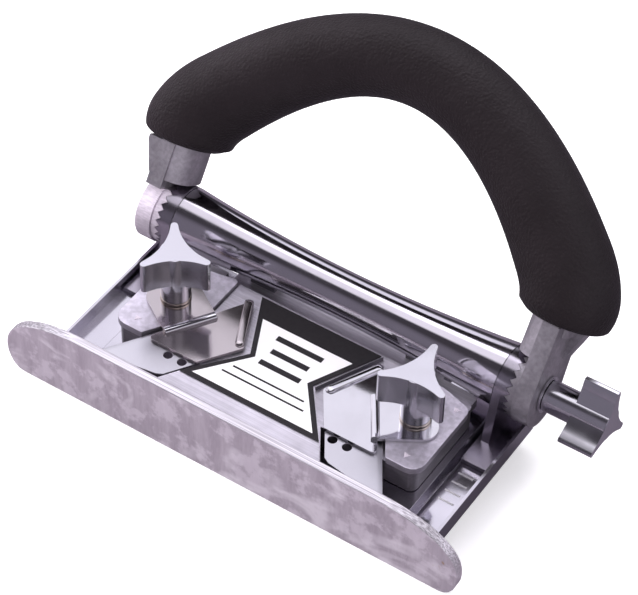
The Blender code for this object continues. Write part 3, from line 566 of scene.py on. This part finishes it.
def make_lip(name, side):
    """The folded finger lip along the inner edge of a clamp plate, with rounded ends."""
    seat = UP * (underside("clamp_" + name) + LIP_SEAT)
    start, end = (Vector((side * x, y, 0)) for x, y in LIP_LINE)
    along = (end - start).normalized()
    outward = Vector((along.y, -along.x, 0)) * side
    length = (end - start).length
    stations = []
    for k in range(LIP_STEPS + 1):
        share = k / LIP_STEPS
        into_end = max(1 - min(share, 1 - share) * length / LIP_END, 0)
        scale = max(sqrt(1 - into_end ** 2), LIP_TIP_SCALE)
        place = start.lerp(end, share) + outward * LIP_WIDTH / 2 + seat
        stations.append((place, outward, UP, scale))
    work = bmesh.new()
    sweep(work, stations, LIP_SECTION)
    # The left lip takes the left clamp's darker, painted-shade chrome.
    material = SHADED_LEFT_CHROME if name == "left" else CHROME
    lip = new_piece("clamp_lip_" + name, work, name + "_clamp", material)
    lip.data.shade_smooth()


def make_fold(name, side):
    """The rolled edge where a clamp steps up from its wing to its pad."""
    top = UP * top_of("clamp_" + name)
    start, end = (edge_place(side, FOLD_N, m) + top for m in FOLD_M)
    across = edge_place(side, 1, 0)
    work = bmesh.new()
    sweep(work, [(start.lerp(end, k / FOLD_STEPS), across, UP, 1.0) for k in range(FOLD_STEPS + 1)],
          FOLD_SECTION)
    fold = new_piece("clamp_fold_" + name, work, name + "_clamp", CHROME)
    finish_edges(fold, 0.2)


# Ledges of the casting, marks of the blocks and lines of the tray's scale

LEDGE_OUTLINE = ((60.2, 26.6), (83.0, 26.6), (83.0, 31.4), (80.0, 33.0), (60.2, 33.4))
LEDGE_RISE = 6.5
LEDGE_DROP = 1.2
MARK_PLACES = ((80.5, 16.0), (76.0, -20.5))
MARK_RADIUS = 2.1
MARK_WAIST = 0.5
MARK_POINTS = 12
MARK_TURN = 0.4
MARK_SINK = 0.05
MARK_RISE = 0.25
MARK_CHAMFER = 0.15
TRAY_THICKNESS = 2.0
SCALE_X = (92.9, 101.0)
SCALE_PITCH = 6.0
SCALE_COUNT = 4
SCALE_HALF = 0.5
SCALE_GAP = 0.01
SCALE_RISE = 0.16
SCALE_CHAMFER = 0.1


def make_ledge(name, side):
    """A ledge of the casting that reaches back under the cross bar, beside the saddle."""
    low = underside("head_casting") + LEDGE_RISE
    high = underside("head_block_" + name) - LEDGE_DROP
    work = bmesh.new()
    extrude_outline(work, [(side * x, y) for x, y in LEDGE_OUTLINE], low, high)
    ledge = new_piece("head_ledge_" + name, work, "frame", HEAD_CAST)
    finish_edges(ledge, 0.4)


def mark_outline(x, y):
    """A trefoil round a point: every fourth point reaches out, and the others make its waist."""
    outline = []
    for k in range(MARK_POINTS):
        turn = 2 * pi * k / MARK_POINTS + MARK_TURN
        reach = MARK_RADIUS * (MARK_WAIST if k % 4 else 1)
        outline.append((x + reach * cos(turn), y + reach * sin(turn)))
    return outline


def make_marks(name, side):
    """Small raised trefoils on a head block."""
    top = top_of("head_block_" + name)
    work = bmesh.new()
    for x, y in MARK_PLACES:
        extrude_outline(work, mark_outline(side * x, y), top - MARK_SINK, top + MARK_RISE, MARK_CHAMFER)
    new_piece("block_marks_" + name, work, "frame", JAW_CAST)


def make_scale_lines():
    """Bright lines capping the grooves of the tray's scale, low enough to pass under the ear; their white
    is a painted highlight for the shine of the embossed lines.
    """
    floor = underside("base_tray") + TRAY_THICKNESS
    work = bmesh.new()
    for k in range(SCALE_COUNT):
        y = -SCALE_PITCH * k
        extrude_outline(work, rectangle(*SCALE_X, y - SCALE_HALF, y + SCALE_HALF), floor + SCALE_GAP,
                        floor + SCALE_RISE, SCALE_CHAMFER)
    new_piece("scale_lines", work, "tray", SCALE_HIGHLIGHT_WHITE)


def make_pieces():
    make_grip()
    make_label()
    make_scale_lines()
    for name, side in SIDES:
        make_ledge(name, side)
        make_marks(name, side)
        make_lip(name, side)
        make_fold(name, side)


# Materials and edges of the frame's nodes: the start of a name, its material and the rounding of its edges

LOOKS = (
    ("wall_rail", RAIL, 2.0),
    ("head_casting", HEAD_CAST, 0.6),
    ("head_block", BLOCK_CAST, 0.5),
    ("label_plate", BLACK, 0.0),
    ("blade", BLADE, 0.08),
    ("clamp_knob", KNOB_CHROME, 0.5),
    # The left clamp gets the darker chrome as painted shade.
    ("clamp_left", SHADED_LEFT_CHROME, 0.25),
    ("clamp_right", CHROME, 0.25),
    ("knob_washer", WASHER_CHROME, 0.25),
    ("stud", STEEL, 0.15),
    ("base_tray", TRAY_CHROME, 0.3),
    ("sole_plate", CAST, 0.4),
    ("cross_bar", BAR_CHROME, 0.3),
    ("ear_left", EAR_CHROME, 0.3),
    ("ear_right", EAR_CHROME, 0.3),
    ("clutch_jaw", JAW_CAST, 0.3),
    ("handle_frame", CAST, 0.5),
    ("grip", RUBBER, 0.0),
    ("side_knob", KNOB_CHROME, 0.5),
    ("side_washer", CHROME, 0.2),
    ("", STEEL, 0.2),
)
EDGE_SEGMENTS = {"wall_rail": 4}


def dress_nodes():
    for name, obj in NODES.items():
        material, edge = next(look[1:] for look in LOOKS if name.startswith(look[0]))
        obj.data.materials.clear()
        obj.data.materials.append(material)
        finish_edges(obj, edge, EDGE_SEGMENTS.get(name, 2))


# Studio, in metres

CAMERA_PLACE = (0.4518, -0.6985, 0.9343)
CAMERA_LOOK = (-0.3692, 0.5880, -0.7197)
CAMERA_ROLL = radians(1.89)
LENS = 146.7  # millimetres
SENSOR = 36.0  # millimetres
FLOOR_SIZE = 12.0
FLOOR_DROP = 0.0003
FLOOR_IN_METAL = (0.16, 0.14, 0.17)
FLOOR_GLOW = 0.35
ROOM = (0.055, 0.050, 0.060)
# Each soft box's direction, the cosines at which it is full and at which it ends, and its colour.
SOFT_BOXES = (
    ((-0.35, 0.60, 0.72), 0.93, 0.86, (0.93, 0.91, 1.01)),
    ((-0.37, 0.12, 0.92), 0.95, 0.90, (1.00, 0.97, 1.05)),
    ((-0.97, -0.10, 0.25), 0.93, 0.78, (0.90, 0.86, 0.94)),
    ((0.88, 0.20, 0.42), 0.96, 0.84, (0.80, 0.76, 0.86)),
    ((-0.10, -0.93, 0.36), 0.95, 0.80, (0.13, 0.12, 0.15)),
    ((0.42, 0.64, 0.62), 0.95, 0.82, (0.52, 0.50, 0.55)),
    ((-0.83, 0.45, 0.33), 0.95, 0.86, (0.26, 0.25, 0.28)),
    ((0.70, -0.66, 0.28), 0.95, 0.80, (0.50, 0.48, 0.53)),
)
# Each lamp's name, place, size, watts and colour.
LAMPS = (
    ("key", (-0.60, -0.85, 0.80), (0.6, 0.6), 14.0, (1.0, 0.97, 1.0)),
    ("fill", (0.95, -0.55, 0.60), (0.6, 0.6), 6.0, (1.0, 0.98, 1.0)),
    ("back", (-0.30, 0.95, 0.95), (0.9, 0.5), 10.0, (1.0, 1.0, 1.0)),
    ("left", (-1.20, 0.05, 0.35), (0.5, 0.5), 12.0, (1.0, 0.98, 1.0)),
)
LAMP_TARGET = Vector((0, 0, 0.03))


def make_camera():
    data = bpy.data.cameras.new("camera")
    data.lens = LENS
    data.sensor_width = SENSOR
    camera = bpy.data.objects.new("camera", data)
    bpy.context.scene.collection.objects.link(camera)
    look = Vector(CAMERA_LOOK).to_track_quat("-Z", "Y").to_matrix().to_4x4()
    roll = Matrix.Rotation(CAMERA_ROLL, 4, "Z")
    camera.matrix_world = Matrix.Translation(CAMERA_PLACE) @ look @ roll
    bpy.context.scene.camera = camera


def make_floor():
    """Pale to the camera; the metal sees a darker sweep, as it would with black cards round the table."""
    s = Shader("studio_floor")
    pale = s.mix(s.noise(3.0, 2.0), (0.93, 0.93, 0.93), (0.95, 0.95, 0.95))
    seen = s.node("ShaderNodeLightPath").outputs["Is Camera Ray"]
    s.set(Base_Color=s.mix(seen, FLOOR_IN_METAL, pale), Roughness=0.8, Specular_IOR_Level=0.1,
          Emission_Color=(1, 1, 1, 1), Emission_Strength=s.math("MULTIPLY", seen, FLOOR_GLOW))
    bpy.ops.mesh.primitive_plane_add(size=FLOOR_SIZE, location=(0, 0, -FLOOR_DROP))
    floor = bpy.context.object
    floor.name = "studio_floor"
    floor.data.materials.append(s.material)


def soft_box_fade(nodes, link, direction, towards, full, none):
    """A socket that is 1 inside a soft box, 0 outside it and smooth between."""
    dot = nodes.new("ShaderNodeVectorMath")
    dot.operation = "DOT_PRODUCT"
    dot.inputs[1].default_value = Vector(towards).normalized()
    link(direction, dot.inputs[0])
    fade = nodes.new("ShaderNodeMapRange")
    fade.interpolation_type = "SMOOTHSTEP"
    fade.inputs["From Min"].default_value = none
    fade.inputs["From Max"].default_value = full
    link(dot.outputs["Value"], fade.inputs["Value"])
    return fade.outputs["Result"]


def make_world():
    """A dark lavender room with soft boxes for the metal to mirror, and plain white to the camera."""
    world = bpy.data.worlds.new("studio")
    world.use_nodes = True
    bpy.context.scene.world = world
    nodes = world.node_tree.nodes
    link = world.node_tree.links.new
    direction = nodes.new("ShaderNodeTexCoord").outputs["Generated"]
    total = None
    for towards, full, none, colour in SOFT_BOXES:
        added = nodes.new("ShaderNodeVectorMath")
        added.operation = "MULTIPLY_ADD"
        added.inputs[1].default_value = colour
        added.inputs[2].default_value = ROOM
        link(soft_box_fade(nodes, link, direction, towards, full, none), added.inputs[0])
        if total:
            link(total, added.inputs[2])
        total = added.outputs["Vector"]
    seen = nodes.new("ShaderNodeMix")
    seen.data_type = "RGBA"
    seen.inputs[7].default_value = (1, 1, 1, 1)
    link(nodes.new("ShaderNodeLightPath").outputs["Is Camera Ray"], seen.inputs[0])
    link(total, seen.inputs[6])
    link(seen.outputs[2], nodes["Background"].inputs["Color"])


def make_lamps():
    """Soft light for the matte surfaces. The polished ones mirror only the room, so they don't see it."""
    for name, place, size, watts, colour in LAMPS:
        data = bpy.data.lights.new(name, "AREA")
        data.shape = "RECTANGLE"
        data.size, data.size_y = size
        data.energy = watts
        data.color = colour
        lamp = bpy.data.objects.new(name, data)
        lamp.visible_glossy = False
        bpy.context.scene.collection.objects.link(lamp)
        lamp.location = place
        lamp.rotation_euler = (LAMP_TARGET - Vector(place)).to_track_quat("-Z", "Y").to_euler()


dress_nodes()
make_pieces()
make_floor()
make_world()
make_lamps()
make_camera()
bpy.context.scene.view_settings.view_transform = "Standard"
